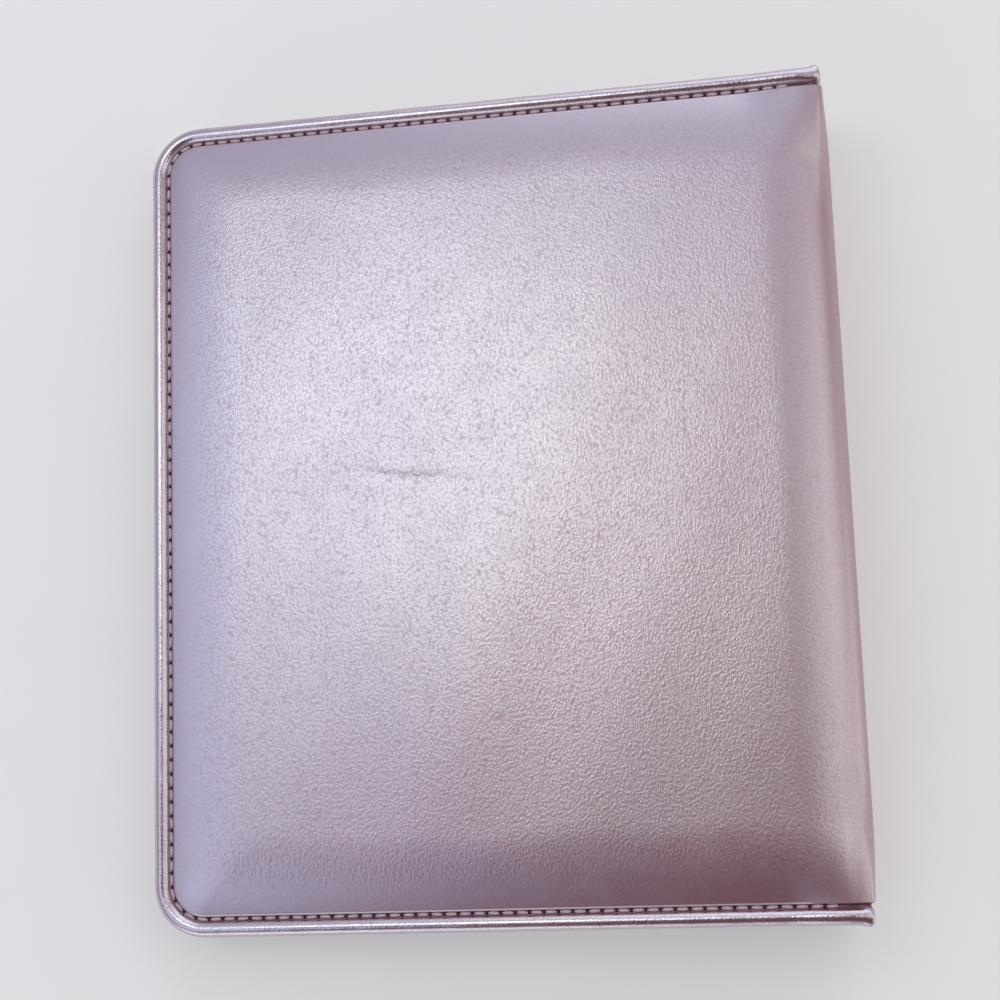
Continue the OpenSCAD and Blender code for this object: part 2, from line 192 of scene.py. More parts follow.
def pearlLeather(name, filmShare, filmRough, evenGrain=None):
    # without an even grain, grain and film follow the masks on the cover's mesh
    material, w = newMaterial(name)
    place = objectPlace(w)
    slanted = stretched(w, place, (0.0, 0.0, pearl["slant"]), (1.0, pearl["stretch"], 1.0))
    wander = noise(w, place, pearl["wanderScale"], 2.0).other("Color")
    warp = w.add("ShaderNodeVectorMath", {"operation": "MULTIPLY_ADD"},
                 {0: wander, 1: (pearl["wander"],) * 3, 2: slanted})
    pebble = w.add("ShaderNodeTexVoronoi", {"feature": "SMOOTH_F1"},
                   {"Vector": warp, "Scale": pearl["grainScale"], "Smoothness": 0.2}, out="Distance")
    fine = noise(w, place, pearl["fineScale"], 2.0)
    mask = attribute(w, "grain") if evenGrain is None else evenGrain
    grain = ((1 - pebble * 1.25) * 0.8 + fine * 0.35) * mask
    normal = bumped(w, grain, pearl["grainHeight"])
    broad = noise(w, place, pearl["broadScale"], 3.0)
    tint = ((broad - 0.5) * 1.6 + 0.5).limit().blend(pearl["film"], pearl["filmWarm"])
    patchy = noise(w, place, pearl["patchScale"], 4.0, 0.6)
    pits = (pebble * 1.5 - 0.45).limit() * mask
    rough = filmRough + (patchy - 0.5) * pearl["patchRough"] + pits * pearl["pitRough"]
    film = principled(w, {
        "Base Color": tint, "Metallic": 1.0, "Roughness": rough, "Normal": normal,
        "Coat Weight": pearl["coat"], "Coat Roughness": pearl["coatRough"]})
    share = filmShare + (broad - 0.5) * pearl["broadVary"] - pits * pearl["pitBare"]
    tone = patchy.blend(pearl["skin"], pearl["skinDark"])
    if evenGrain is None:
        # painted shade: the groove mask darkens the skin and cuts back the film in the groove beside the stitches
        deep, bare = attribute(w, "groove"), attribute(w, "bare")
        # painted shade: the fold mask cuts back the film on the fold and the spine
        share = share * (1 - deep * pearl["grooveShadeCut"]) * (1 - bare * pearl["foldSpineShadeCut"])
        tone = deep.blend(tone, pearl["grooveShade"])
    skin = principled(w, {
        "Base Color": tone, "Roughness": pearl["skinRough"], "Specular IOR Level": pearl["skinSpecular"],
        "Normal": normal})
    finishMaterial(w, w.add("ShaderNodeMixShader", {}, {0: share, 1: skin, 2: film}))
    return material


# smooth lining leather inside the covers
liningFinish = {
    "color": (0.50, 0.36, 0.43, 1), "worn": (0.57, 0.44, 0.50, 1), "rough": 0.52, "height": 0.06 * mm,
    "cellScale": 1500, "fineScale": 900, "broadScale": 22,
}


def liningLeather(name):
    material, w = newMaterial(name)
    place = objectPlace(w)
    cell = w.add("ShaderNodeTexVoronoi", {"feature": "DISTANCE_TO_EDGE"},
                 {"Vector": place, "Scale": liningFinish["cellScale"]}, out="Distance")
    fine = noise(w, place, liningFinish["fineScale"], 3.0)
    broad = noise(w, place, liningFinish["broadScale"], 4.0, 0.6)
    color = ((broad - 0.5) * 1.8 + 0.5).limit().blend(liningFinish["color"], liningFinish["worn"])
    finishMaterial(w, principled(w, {
        "Base Color": color, "Roughness": liningFinish["rough"] + (fine - 0.5) * 0.2,
        "Normal": bumped(w, cell * 1.4 + fine * 0.5, liningFinish["height"], 0.7)}))
    return material


# sewing thread, mauve, with dark wine beads between its stitches as painted shade of the needle holes
threadFinish = {
    "color": (0.53, 0.40, 0.46, 1), "light": (0.72, 0.60, 0.65, 1), "rough": 0.42, "sheen": 0.3,
    "strandScale": 700, "strandHeight": 0.05 * mm,
    # the hole colours are painted shade of the needle holes
    "hole": (0.045, 0.008, 0.013, 1), "holePale": (0.10, 0.02, 0.03, 1), "holeRough": 0.8, "holeScale": 3000,
}


def sewingThread(name):
    material, w = newMaterial(name)
    strands = w.add("ShaderNodeTexWave", {"wave_type": "BANDS", "bands_direction": "DIAGONAL"},
                    {"Vector": objectPlace(w), "Scale": threadFinish["strandScale"], "Distortion": 1.5, "Detail": 1.0},
                    out="Fac")
    finishMaterial(w, principled(w, {
        "Base Color": strands.blend(threadFinish["color"], threadFinish["light"]),
        "Roughness": threadFinish["rough"] + strands * 0.15,
        "Normal": bumped(w, strands, threadFinish["strandHeight"], 0.6), "Sheen Weight": threadFinish["sheen"]}))
    return material


# painted shade: a dark wine bead stands for each needle hole
def holeShadeBead(name):
    material, w = newMaterial(name)
    speck = noise(w, objectPlace(w), threadFinish["holeScale"], 2.0)
    color = speck.blend(threadFinish["hole"], threadFinish["holePale"])
    finishMaterial(w, principled(w, {"Base Color": color, "Roughness": threadFinish["holeRough"]}))
    return material


# plated steel of the ring mechanism
steelFinish = {
    "color": (0.72, 0.73, 0.75, 1), "dull": (0.58, 0.59, 0.61, 1), "lineScale": 2200, "lineStretch": 0.03,
    "lineHeight": 0.01 * mm, "smearScale": 60,
    "casing": {"rough": 0.26, "brushed": 1.0}, "ring": {"rough": 0.12, "brushed": 0.0},
}


def platedSteel(name, rough, brushed):
    material, w = newMaterial(name)
    place = objectPlace(w)
    drawn = stretched(w, place, (0, 0, 0), (1.0, steelFinish["lineStretch"], 1.0))
    lines = noise(w, drawn, steelFinish["lineScale"], 3.0)
    smear = noise(w, place, steelFinish["smearScale"], 4.0, 0.6)
    color = ((smear - 0.45) * 1.5).limit().blend(steelFinish["color"], steelFinish["dull"])
    finishMaterial(w, principled(w, {
        "Base Color": color, "Metallic": 1.0, "Roughness": rough + (smear - 0.5) * 0.1 + lines * 0.1 * brushed,
        "Normal": bumped(w, lines, steelFinish["lineHeight"], 0.5 * brushed)}))
    return material


# paper with pale ruled lines, drawn on the sheet's own map in shares of its width and height
paperFinish = {
    "color": (0.90, 0.885, 0.83, 1), "shade": (0.84, 0.815, 0.745, 1), "rule": (0.55, 0.50, 0.60, 1),
    "rough": 0.82, "height": 0.02 * mm, "fibreScale": 1400, "cloudScale": 30,
    "rows": 30, "lineW": 0.035, "sides": (0.1, 0.95), "lines": (0.05, 0.9), "head": (0.925, 0.929),
    "edge": (0.17, 0.1725), "edgeEnds": (0.05, 0.929), "ink": 0.75,
}


def ruledPaper(name):
    material, w = newMaterial(name)
    place = objectPlace(w)
    fibre = noise(w, place, paperFinish["fibreScale"], 4.0, 0.7)
    cloud = noise(w, place, paperFinish["cloudScale"], 3.0)
    base = (cloud * 0.6 + fibre * 0.4).limit().blend(paperFinish["color"], paperFinish["shade"])
    across = w.add("ShaderNodeSeparateXYZ", {}, {0: w.add("ShaderNodeUVMap", {"uv_map": "UVMap"})})
    along = across.other(1)
    ruled = across.within(*paperFinish["sides"])
    row = w.math("FRACT", along * paperFinish["rows"])
    line = (row < paperFinish["lineW"]) * ruled * along.within(*paperFinish["lines"])
    head = along.within(*paperFinish["head"]) * ruled
    edge = across.within(*paperFinish["edge"]) * along.within(*paperFinish["edgeEnds"])
    inked = ((line * 0.6 + head + edge * 0.7) * paperFinish["ink"]).limit()
    finishMaterial(w, principled(w, {
        "Base Color": inked.blend(base, paperFinish["rule"]),
        "Roughness": paperFinish["rough"] + (fibre - 0.5) * 0.1,
        "Normal": bumped(w, fibre, paperFinish["height"], 0.4)}))
    return material


# divider cards, a color and its paler cloud for each
cardFinish = {
    "rough": 0.6, "height": 0.03 * mm, "fibreScale": 1100, "cloudScale": 45,
    "rose": ((0.62, 0.36, 0.43, 1), (0.69, 0.45, 0.51, 1)),
    "lilac": ((0.50, 0.43, 0.60, 1), (0.58, 0.51, 0.67, 1)),
    "grey": ((0.52, 0.50, 0.50, 1), (0.60, 0.58, 0.58, 1)),
}


def dividerCard(name, color, pale):
    material, w = newMaterial(name)
    place = objectPlace(w)
    fibre = noise(w, place, cardFinish["fibreScale"], 4.0, 0.7)
    cloud = noise(w, place, cardFinish["cloudScale"], 3.0)
    finishMaterial(w, principled(w, {
        "Base Color": ((cloud + fibre) * 0.5).blend(color, pale),
        "Roughness": cardFinish["rough"] + (fibre - 0.5) * 0.15,
        "Normal": bumped(w, fibre, cardFinish["height"], 0.5)}))
    return material


boardFinish = {"color": (0.36, 0.33, 0.30, 1), "pale": (0.50, 0.47, 0.43, 1), "rough": 0.85,
               "height": 0.05 * mm, "fibreScale": 700}


def greyBoard(name):
    material, w = newMaterial(name)
    fibre = noise(w, objectPlace(w), boardFinish["fibreScale"], 5.0, 0.7)
    finishMaterial(w, principled(w, {
        "Base Color": fibre.blend(boardFinish["color"], boardFinish["pale"]), "Roughness": boardFinish["rough"],
        "Normal": bumped(w, fibre, boardFinish["height"], 0.6)}))
    return material


coverLeather = pearlLeather("coverLeather", **pearl["cover"])
rollLeather = pearlLeather("rollLeather", **pearl["roll"])
lining = liningLeather("lining")
thread = sewingThread("thread")
holeShade = holeShadeBead("holeShadeBeads")
casingSteel = platedSteel("casingSteel", **steelFinish["casing"])
ringChrome = platedSteel("ringChrome", **steelFinish["ring"])
paper = ruledPaper("paper")
cards = {
    "divider_1": dividerCard("cardRose", *cardFinish["rose"]),
    "divider_2": dividerCard("cardLilac", *cardFinish["lilac"]),
    "divider_3": dividerCard("cardGrey", *cardFinish["grey"]),
}
board = greyBoard("board")
print("materials made:", len(bpy.data.materials))


def ease(low, high, x):
    t = np.clip((x - low) / (high - low), 0, 1)
    return t * t * (3 - 2 * t)


# a place on a cover, its fold and its half of the spine: p runs from the fore edge (below 0) over the fold
# (0 to foldArc) to the middle of the spine, y to the head, depth in from the outer face
def layOut(side, p, y, depth):
    p, y, depth = np.broadcast_arrays(*(np.asarray(a, float) for a in (p, y, depth)))
    lean, r = planner["lean"], planner["foldR"]
    cx, cz = planner["foldX"], r
    start, sign = -math.pi / 2, 1
    if side == "back":
        cx -= planner["spineL"] * math.sin(lean)
        cz += planner["spineL"] * math.cos(lean)
        start, sign = math.pi / 2 + 2 * lean, -1
    angle = start + sign * np.clip(p / r, 0, foldTurn)
    run = np.where(p < 0, p, np.maximum(p - foldArc, 0))
    out, along = r - depth, sign * run
    return np.stack([cx + np.cos(angle) * out - np.sin(angle) * along, y,
                     cz + np.sin(angle) * out + np.cos(angle) * along], -1)


def foldEnds(side, r):
    # the points where a fold starts on the spine and ends on the cover, at a radius about its centre
    depth = planner["foldR"] - r
    return tuple(layOut(side, foldArc, 0, depth)), tuple(layOut(side, 0, 0, depth))


def newObject(name, data, *materials):
    for material in materials:
        data.materials.append(material)
    piece = bpy.data.objects.new(name, data)
    scene.collection.objects.link(piece)
    return piece


def meshFrom(name, verts, faces):
    mesh = bpy.data.meshes.new(name)
    mesh.from_pydata([tuple(v) for v in verts], [], faces)
    work = bmesh.new()
    work.from_mesh(mesh)
    bmesh.ops.recalc_face_normals(work, faces=work.faces)
    work.to_mesh(mesh)
    work.free()
    mesh.polygons.foreach_set("use_smooth", [True] * len(mesh.polygons))
    mesh.set_sharp_from_angle(angle=math.radians(55))
    mesh.update()
    return mesh


# closes a surface with a second one below it: faces of the top, mirrored faces, and a wall along its rim
def closeShell(faces, count):
    edges = {}
    for face in faces:
        for a, b in zip(face, face[1:] + face[:1]):
            edges[(a, b)] = True
    under = [tuple(v + count for v in reversed(face)) for face in faces]
    rim = [(b, a, a + count, b + count) for a, b in edges if (b, a) not in edges]
    return [tuple(f) for f in faces] + under + rim


def gridFaces(index):
    n, m = index.shape
    return [[int(v) for v in (index[i, j], index[i + 1, j], index[i + 1, j + 1], index[i, j + 1])]
            for i in range(n - 1) for j in range(m - 1)]


def shellBetween(name, top, bottom, material):
    # two grids of the same size, closed along their rims
    n, m = top.shape[:2]
    faces = gridFaces(np.arange(n * m).reshape(n, m))
    verts = np.concatenate([top.reshape(-1, 3), bottom.reshape(-1, 3)])
    return newObject(name, meshFrom(name, verts, closeShell(faces, n * m)), material)


# outline of a cover at an inset: the tail from the middle of the spine round its corner, and the fore edge
def coverPath(inset, cornerR, spineSteps, foldSteps, coverSteps, arcSteps, rows):
    cornerP = inset + cornerR - planner["coverL"]
    edgeY = halfH - inset
    p = np.concatenate([np.linspace(spineMid, foldArc, spineSteps, endpoint=False),
                        np.linspace(foldArc, 0, foldSteps, endpoint=False),
                        np.linspace(0, cornerP, coverSteps + 1)])
    turn = np.linspace(0, math.pi / 2, arcSteps + 1)[1:]
    tailP = np.concatenate([p, cornerP - cornerR * np.sin(turn)])
    tailY = np.concatenate([np.full(len(p), -edgeY), cornerR - edgeY - cornerR * np.cos(turn)])
    foreY = np.linspace(tailY[-1], -tailY[-1], rows + 1)[1:-1]
    return tailP, tailY, foreY


def wholePath(tailP, tailY, foreY):
    # the same outline, carried on round the head
    p = np.concatenate([tailP, np.full(len(foreY), tailP[-1]), tailP[::-1]])
    return p, np.concatenate([tailY, foreY, -tailY[::-1]])


# the fold's corners: reach of the fold, width of the tip, softness of the edge, and how the roll rises there
fold = {"reach": (-16 * mm, 1 * mm), "tipW": 0.11 * foldArc, "edgeSoft": 0.11,
        "rollRise": 0.95 * mm, "rollR": 5 * mm, "tipRise": 0.8 * mm}


def nearFold(p):
    return ease(*fold["reach"], p)


def tipShape(p):
    return np.exp(-((p - foldArc / 2) / fold["tipW"]) ** 2)


# how far a square corner stands out from the round fold of a radius, with its very edge softened
def cornerOut(p, r):
    angle = np.clip(p / planner["foldR"], 0, foldTurn)
    fromEdge = foldTurn / 2 - np.minimum(angle, foldTurn - angle)
    return r / np.cos(np.maximum(foldTurn / 2 - np.hypot(fromEdge, fold["edgeSoft"]), 0)) - r


def rollCentre(p):
    rise = fold["rollRise"] * nearFold(p) + cornerOut(p, fold["rollR"]) + fold["tipRise"] * tipShape(p)
    return planner["rollDepth"] - rise


# wear of the used cover: shallow waves, one crease with a ridge beside it, and broad dents
worn = {
    "wave": 0.09 * mm, "ripple": 0.05 * mm, "waveRise": (4 * mm, 24 * mm),
    "creaseS": np.array([97.5, 106, 116, 124, 132]) * mm, "creaseY": np.array([6.0, 7.2, 7.4, 9.3, 11.2]) * mm,
    "creaseRise": (93 * mm, 110 * mm), "creaseFall": (118 * mm, 136 * mm), "creaseDepth": 0.14 * mm,
    "creaseW": 1.0 * mm, "ridgeH": 0.1 * mm, "ridgeOff": 3 * mm, "ridgeW": 2.4 * mm,
    # place from the fold and from the middle, half sizes and depth: beside the crease, under it, near the tail
    "dents": np.array([(145, 1, 5, 8, 0.22), (118, 4, 26, 13, 0.3), (125.4, -104, 1.8, 6, 0.16)]) * mm,
}


def wear(side, p, y):
    s = -p
    wave = worn["wave"] * np.sin(s * 61 + 1.3) * np.sin(y * 47 + 0.4) + worn["ripple"] * np.sin(s * 143 + y * 57)
    depth = wave * ease(*worn["waveRise"], s)
    if side == "front":
        return depth
    off = y - np.interp(s, worn["creaseS"], worn["creaseY"])
    fade = ease(*worn["creaseRise"], s) * (1 - ease(*worn["creaseFall"], s))
    ridge = worn["ridgeH"] * np.exp(-((off - worn["ridgeOff"]) / worn["ridgeW"]) ** 2)
    depth += fade * (worn["creaseDepth"] * np.exp(-(off / worn["creaseW"]) ** 2) - ridge)
    for at, height, wide, tall, deep in worn["dents"]:
        depth += deep * np.exp(-((s - at) / wide) ** 2 - ((y - height) / tall) ** 2)
    return depth


# the padded outer leather: profile from the groove beside the roll over the slope to the flat
pad = {
    "rim": 3.9 * mm, "groove": 4.75 * mm, "grooveEnd": 5.25 * mm, "lip": 5.9 * mm, "seam": 5.5 * mm,
    "rimUp": 1.2 * mm, "grooveUp": 0.5 * mm, "slopeW": 21 * mm, "drop": 2.4 * mm, "power": 1.9,
    "foldEase": 0.62, "sag": 5.3 * mm, "shoulder": 12 * mm, "pinch": 0.78, "pinchFrom": 42 * mm, "pinchTo": 7 * mm,
    "wearRise": (17 * mm, 30 * mm), "leatherT": 1.15 * mm, "leastT": 0.25 * mm, "thicken": 0.45,
    "clear": 0.02 * mm, "cornerR": 6 * mm,
    "insets": [3.9, 4.35, 4.75, 5.25, 5.55, 5.9, 6.4, 7.2, 8.4, 10, 11.6, 13.2, 14.8, 16.4, 18, 19.8, 21.6, 23.4,
               25.2, 27],
    "steps": {"spineSteps": 10, "foldSteps": 24, "coverSteps": 128, "arcSteps": 12, "rows": 156},
    "leastGrain": 0.3, "grainRise": (10 * mm, 21 * mm), "foldGrain": 0.35, "foldGrainRise": (-2 * mm, 12 * mm),
    "grooveMid": 4.95 * mm, "grooveFade": (0.35 * mm, 0.85 * mm), "foldSpineShadeRise": (-0.2 * foldArc, 1.2 * foldArc),
}


def skinDepth(side, p, y, inset):
    k = np.clip((inset - pad["seam"]) / pad["slopeW"], 0, 1)
    slope = pad["drop"] * (1 - k) ** pad["power"] * (1 - pad["foldEase"] * nearFold(p))
    # the pad sinks a little towards the fold, so its shoulder is soft
    toFold = np.clip((p + pad["shoulder"]) / (foldArc + pad["shoulder"]), 0, 1)
    slope = slope + pad["sag"] * toFold ** 2 * (1 - ease(0, foldArc, p)) * k
    # towards head and tail the fold draws in to a crease
    toEnd = ease(halfH - pad["pinchFrom"], halfH - pad["pinchTo"], abs(y))
    slope = slope - pad["pinch"] * toEnd * cornerOut(p, planner["foldR"])
    groove = rollCentre(p) - pad["grooveUp"]
    rim = rollCentre(p) - pad["rimUp"]
    lip = groove + (slope - groove) * ease(pad["grooveEnd"], pad["lip"], inset)
    brink = rim + (groove - rim) * ease(pad["rim"], pad["groove"], inset)
    depth = np.where(inset < pad["groove"], brink, np.where(inset < pad["lip"], lip, slope))
    return depth + wear(side, p, y) * ease(*pad["wearRise"], inset)


def makeSkin(side):
    # rings of points along the slope, then a grid over the flat
    insets = [i * mm for i in pad["insets"]]
    ps, ys, es, loops, faces = [], [], [], [], []
    for inset in insets[:-1]:
        cornerR = max(planner["cornerR"] - inset, pad["cornerR"])
        p, y = wholePath(*coverPath(inset, cornerR, **pad["steps"]))
        loops.append(np.arange(len(p)) + sum(len(a) for a in ps))
        ps.append(p), ys.append(y), es.append(np.full(len(p), inset))
    tailP, tailY, _ = coverPath(insets[-1], pad["cornerR"], **pad["steps"])
    rows = pad["steps"]["rows"]
    first = sum(len(a) for a in ps)
    grid = first + np.arange(len(tailP) * (rows + 1)).reshape(len(tailP), rows + 1)
    gridP = np.repeat(tailP, rows + 1)
    gridY = (-tailY[:, None] * np.linspace(-1, 1, rows + 1)[None, :]).ravel()
    ps.append(gridP), ys.append(gridY)
    es.append(np.minimum(halfH - abs(gridY), gridP + planner["coverL"]))
    loops.append(np.concatenate([grid[:, 0], grid[-1, 1:-1], grid[::-1, -1]]))
    for outer, inner in zip(loops, loops[1:]):
        faces += gridFaces(np.stack([outer, inner], 1))
    faces += gridFaces(grid)
    p, y, e = (np.concatenate(a) for a in (ps, ys, es))
    top = skinDepth(side, p, y, e)
    # the pad is thin over the fold and thickens down to the board on both sides of it
    fromFold = np.maximum(np.maximum(-p, p - foldArc), 0)
    bottom = np.minimum(planner["boardDepth"] - pad["clear"], top + pad["leatherT"] + pad["thicken"] * fromFold)
    bottom = np.maximum(bottom, top + pad["leastT"])
    verts = np.concatenate([layOut(side, p, y, top), layOut(side, p, y, bottom)])
    mesh = meshFrom(side + "Skin", verts, closeShell(faces, len(p)))
    flat = pad["foldGrain"] + (1 - pad["foldGrain"]) * ease(*pad["foldGrainRise"], -p)
    masks = {
        "grain": pad["leastGrain"] + (1 - pad["leastGrain"]) * ease(*pad["grainRise"], e) * flat,
        # painted shade in the groove beside the stitches
        "groove": 1 - ease(*pad["grooveFade"], abs(e - pad["grooveMid"])),
        # painted shade: the pearl film is cut back on the turned side of the fold and on the spine, so they show
        # darker
        "bare": ease(*pad["foldSpineShadeRise"], p),
    }
    for name, values in masks.items():
        mask = mesh.attributes.new(name, "FLOAT", "POINT")
        mask.data.foreach_set("value", np.concatenate([values, values]).astype(np.float32))
    return newObject(side + "Skin", mesh, coverLeather)


for side, body in covers.items():
    skin = makeSkin(side)
    start, end = foldEnds(side, planner["foldR"])
    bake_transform(skin)
    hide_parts(side + "_leather", side + "_foam", side + "_fold")
    if side == "back":
        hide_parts("spine_leather", "spine_foam")
    print("skin", side, len(skin.data.polygons), "faces")

# the rolled edge: a tube round the cover, drawn out to a pinched tip at the corners of the spine
roll = {
    "steps": {"spineSteps": 9, "foldSteps": 30, "coverSteps": 150, "arcSteps": 18, "rows": 170}, "sides": 18,
    "tipOut": 0.5 * mm, "tipLow": 0.5 * mm, "foldWide": 0.02, "foldLow": 0.12, "wobble": 0.012, "ripple": 0.01,
    "blendR": 1.8 * mm,
}


def makeRoll(side):
    r = planner["rollR"]
    p, y = wholePath(*coverPath(r, planner["cornerR"] - r, **roll["steps"]))
    stepP, stepY = np.gradient(p), np.gradient(y)
    length = np.hypot(stepP, stepY)
    outP, outY = stepY / length, -stepP / length
    # outwards is away from the spine at the middle of the fore edge
    sign = -np.sign(outP[len(p) // 2])
    outP, outY = outP * sign, outY * sign
    near, tip = nearFold(p), tipShape(p)
    run = np.cumsum(length)
    radius = r * (1 + roll["wobble"] * np.sin(run * 210) + roll["ripple"] * np.sin(run * 530 + 1))
    shift = 0.5 * roll["tipOut"] * tip
    wide = radius * (1 + roll["foldWide"] * near) + shift
    high = radius * (1 - roll["foldLow"] * near) - roll["tipLow"] * tip
    centre = rollCentre(p)
    rings = []
    for k in range(roll["sides"]):
        a = 2 * math.pi * k / roll["sides"]
        out = wide * math.cos(a) + shift
        rings.append(layOut(side, p + outP * out, y + outY * out, centre - high * math.sin(a)))
    verts = np.stack(rings, 1).reshape(-1, 3)
    n, m = len(p), roll["sides"]
    faces = [(i * m + k, i * m + (k + 1) % m, (i + 1) * m + (k + 1) % m, (i + 1) * m + k)
             for i in range(n - 1) for k in range(m)]
    faces += [tuple(range(m)), tuple((n - 1) * m + k for k in range(m))]
    return newObject(side + "Roll", meshFrom(side + "Roll", verts, faces), rollLeather)


for side, body in covers.items():
    edge = makeRoll(side)
    start, end = foldEnds(side, roll["blendR"])
    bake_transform(edge)
    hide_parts(side + "_edge_roll", side + "_fold_rolls")
    if side == "back":
        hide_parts("spine_rolls")
print("rolled edges done")


def newTree(name, sockets):
    tree = bpy.data.node_groups.new(name, "GeometryNodeTree")
    for label, kind in [("Geometry", "Geometry")] + sockets:
        tree.interface.new_socket(label, in_out="INPUT", socket_type="NodeSocket" + kind)
    tree.interface.new_socket("Geometry", in_out="OUTPUT", socket_type="NodeSocketGeometry")
    return tree, Wire(tree)


def plainMesh(holder, name):
    # the evaluated result as a plain mesh in an object of its own
    view = bpy.context.evaluated_depsgraph_get()
    mesh = bpy.data.meshes.new_from_object(holder.evaluated_get(view), preserve_all_data_layers=True, depsgraph=view)
    mesh.name = name
    old = holder.data
    bpy.data.objects.remove(holder)
    bpy.data.meshes.remove(old)
    return newObject(name, mesh)


def runTree(holder, tree, values):
    run = holder.modifiers.new("run", "NODES")
    run.node_group = tree
    for item in tree.interface.items_tree:
        if item.item_type == "SOCKET" and item.in_out == "INPUT" and item.name in values:
            run[item.identifier] = values[item.name]
    bpy.context.view_layer.update()


# stitches: a row of ovals with a dark bead after each as painted shade of the needle hole, set along a line of points
stitch = {"pitch": 3.9 * mm, "length": 3.3 * mm, "width": 1.0 * mm, "height": 0.75 * mm, "hole": 0.95 * mm, "seed": 4}
liningStitch = {**stitch, "height": 0.45 * mm, "hole": 0.7 * mm}
pocketStitch = {**stitch, "pitch": 3.4 * mm, "length": 2.8 * mm, "height": 0.4 * mm, "hole": 0.6 * mm}
slipTurn = 0.06


def stitchTree():
    sizes = [(name, "Float") for name in ("Pitch", "Length", "Width", "Height", "Hole")]
    tree, w = newTree("stitchRow", sizes + [("Seed", "Int"), ("Thread", "Material"), ("Dark", "Material")])
    given = w.add("NodeGroupInput")
    line = w.add("GeometryNodeMeshToCurve", {}, {"Mesh": given})
    line = w.add("GeometryNodeResampleCurve", {"mode": "LENGTH"},
                 {"Curve": line, "Length": given.other("Pitch") * 0.5})
    points = w.add("GeometryNodeCurveToPoints", {"mode": "EVALUATED"}, {"Curve": line})
    up = w.add("GeometryNodeInputNamedAttribute", {"data_type": "FLOAT_VECTOR"}, {"Name": "up"})
    turn = w.add("FunctionNodeAlignRotationToVector", {"axis": "X"}, {"Vector": points.other("Tangent")})
    turn = w.add("FunctionNodeAlignRotationToVector", {"axis": "Z", "pivot_axis": "X"},
                 {"Rotation": turn, "Vector": up})
    slip = w.add("FunctionNodeRandomValue", {"data_type": "FLOAT"},
                 {2: -slipTurn, 3: slipTurn, "Seed": given.other("Seed")}, out=1)
    spin = w.add("FunctionNodeEulerToRotation", {}, {0: w.add("ShaderNodeCombineXYZ", {}, {2: slip})})
    turn = w.add("FunctionNodeRotateRotation", {"rotation_space": "LOCAL"}, {0: turn, 1: spin})
    odd = w.math("MODULO", w.add("GeometryNodeInputIndex"), 2.0)
    joined = w.add("GeometryNodeJoinGeometry")
    rows = []
    # the second set of beads is painted shade of the needle holes
    for long, wide, high, flat, pick, finish, segments, rings in (
            ("Length", "Width", "Height", 1.0, 1 - odd, "Thread", 10, 6),
            ("Hole", "Hole", "Hole", 0.4, odd, "Dark", 8, 5)):
        bead = w.add("GeometryNodeMeshUVSphere", {}, {"Segments": segments, "Rings": rings, "Radius": 0.5})
        size = w.add("ShaderNodeCombineXYZ", {},
                     {0: given.other(long), 1: given.other(wide), 2: given.other(high) * flat})
        bead = w.add("GeometryNodeTransform", {}, {"Geometry": bead, "Scale": size})
        bead = w.add("GeometryNodeSetShadeSmooth", {}, {"Geometry": bead})
        placed = w.add("GeometryNodeInstanceOnPoints", {},
                       {"Points": points, "Selection": pick, "Instance": bead, "Rotation": turn})
        real = w.add("GeometryNodeRealizeInstances", {}, {"Geometry": placed})
        rows.append(w.add("GeometryNodeSetMaterial", {}, {"Geometry": real, "Material": given.other(finish)}))
    for row in reversed(rows):
        tree.links.new(row.socket, joined.socket.node.inputs[0])
    w.add("NodeGroupOutput", {}, {0: joined})
    return tree


rowTree = stitchTree()


def sewRows(name, lines, sizes):
    verts, ups, edges = [], [], []
    for points, normals in lines:
        first = len(verts)
        verts += [tuple(v) for v in points]
        ups += [tuple(v) for v in normals]
        edges += [(first + k, first + k + 1) for k in range(len(points) - 1)]
    mesh = bpy.data.meshes.new(name + "Line")
    mesh.from_pydata(verts, edges, [])
    up = mesh.attributes.new("up", "FLOAT_VECTOR", "POINT")
    up.data.foreach_set("vector", np.array(ups, np.float32).ravel())
    holder = newObject(name + "Line", mesh)
    values = {key.title(): value for key, value in sizes.items()}
    runTree(holder, rowTree, {**values, "Thread": thread, "Dark": holeShade})
    return plainMesh(holder, name)


# linings: a smooth sheet on each board that turns down at the fold, and a strip in each gutter
inside = {
    "edge": 4.7 * mm, "cornerR": 9.8 * mm, "t": 0.5 * mm, "rows": 40, "columns": 60, "spineColumns": 10,
    "flatFrom": 1.4 * mm, "boardEnd": 2.9 * mm, "clear": 0.02 * mm,
    "gutter": 3.4 * mm, "stripIn": 0.3 * mm, "stripColumns": 61, "stripEnd": 5.2 * mm, "endBand": 7 * mm,
    "endRows": 9, "middleRows": 32, "turnFrom": 10 * mm, "turnTo": 5.4 * mm, "underRoll": 1.3 * mm,
    "pleats": 3, "pleatH": 0.9 * mm,
    "flat": (188.5 * mm, 225.6 * mm), "spineFlat": (34.5 * mm, 225.6 * mm), "foldFlat": (12.5 * mm, 227 * mm),
}
turnDown = {"p": np.array([0.52, 0.44, 0.36, 0.25, 0.1, -0.12, -0.5, -1.0]) * mm,
            "depth": np.array([3.42, 3.6, 4.0, 4.7, 5.5, 6.0, 6.16, 6.2]) * mm}
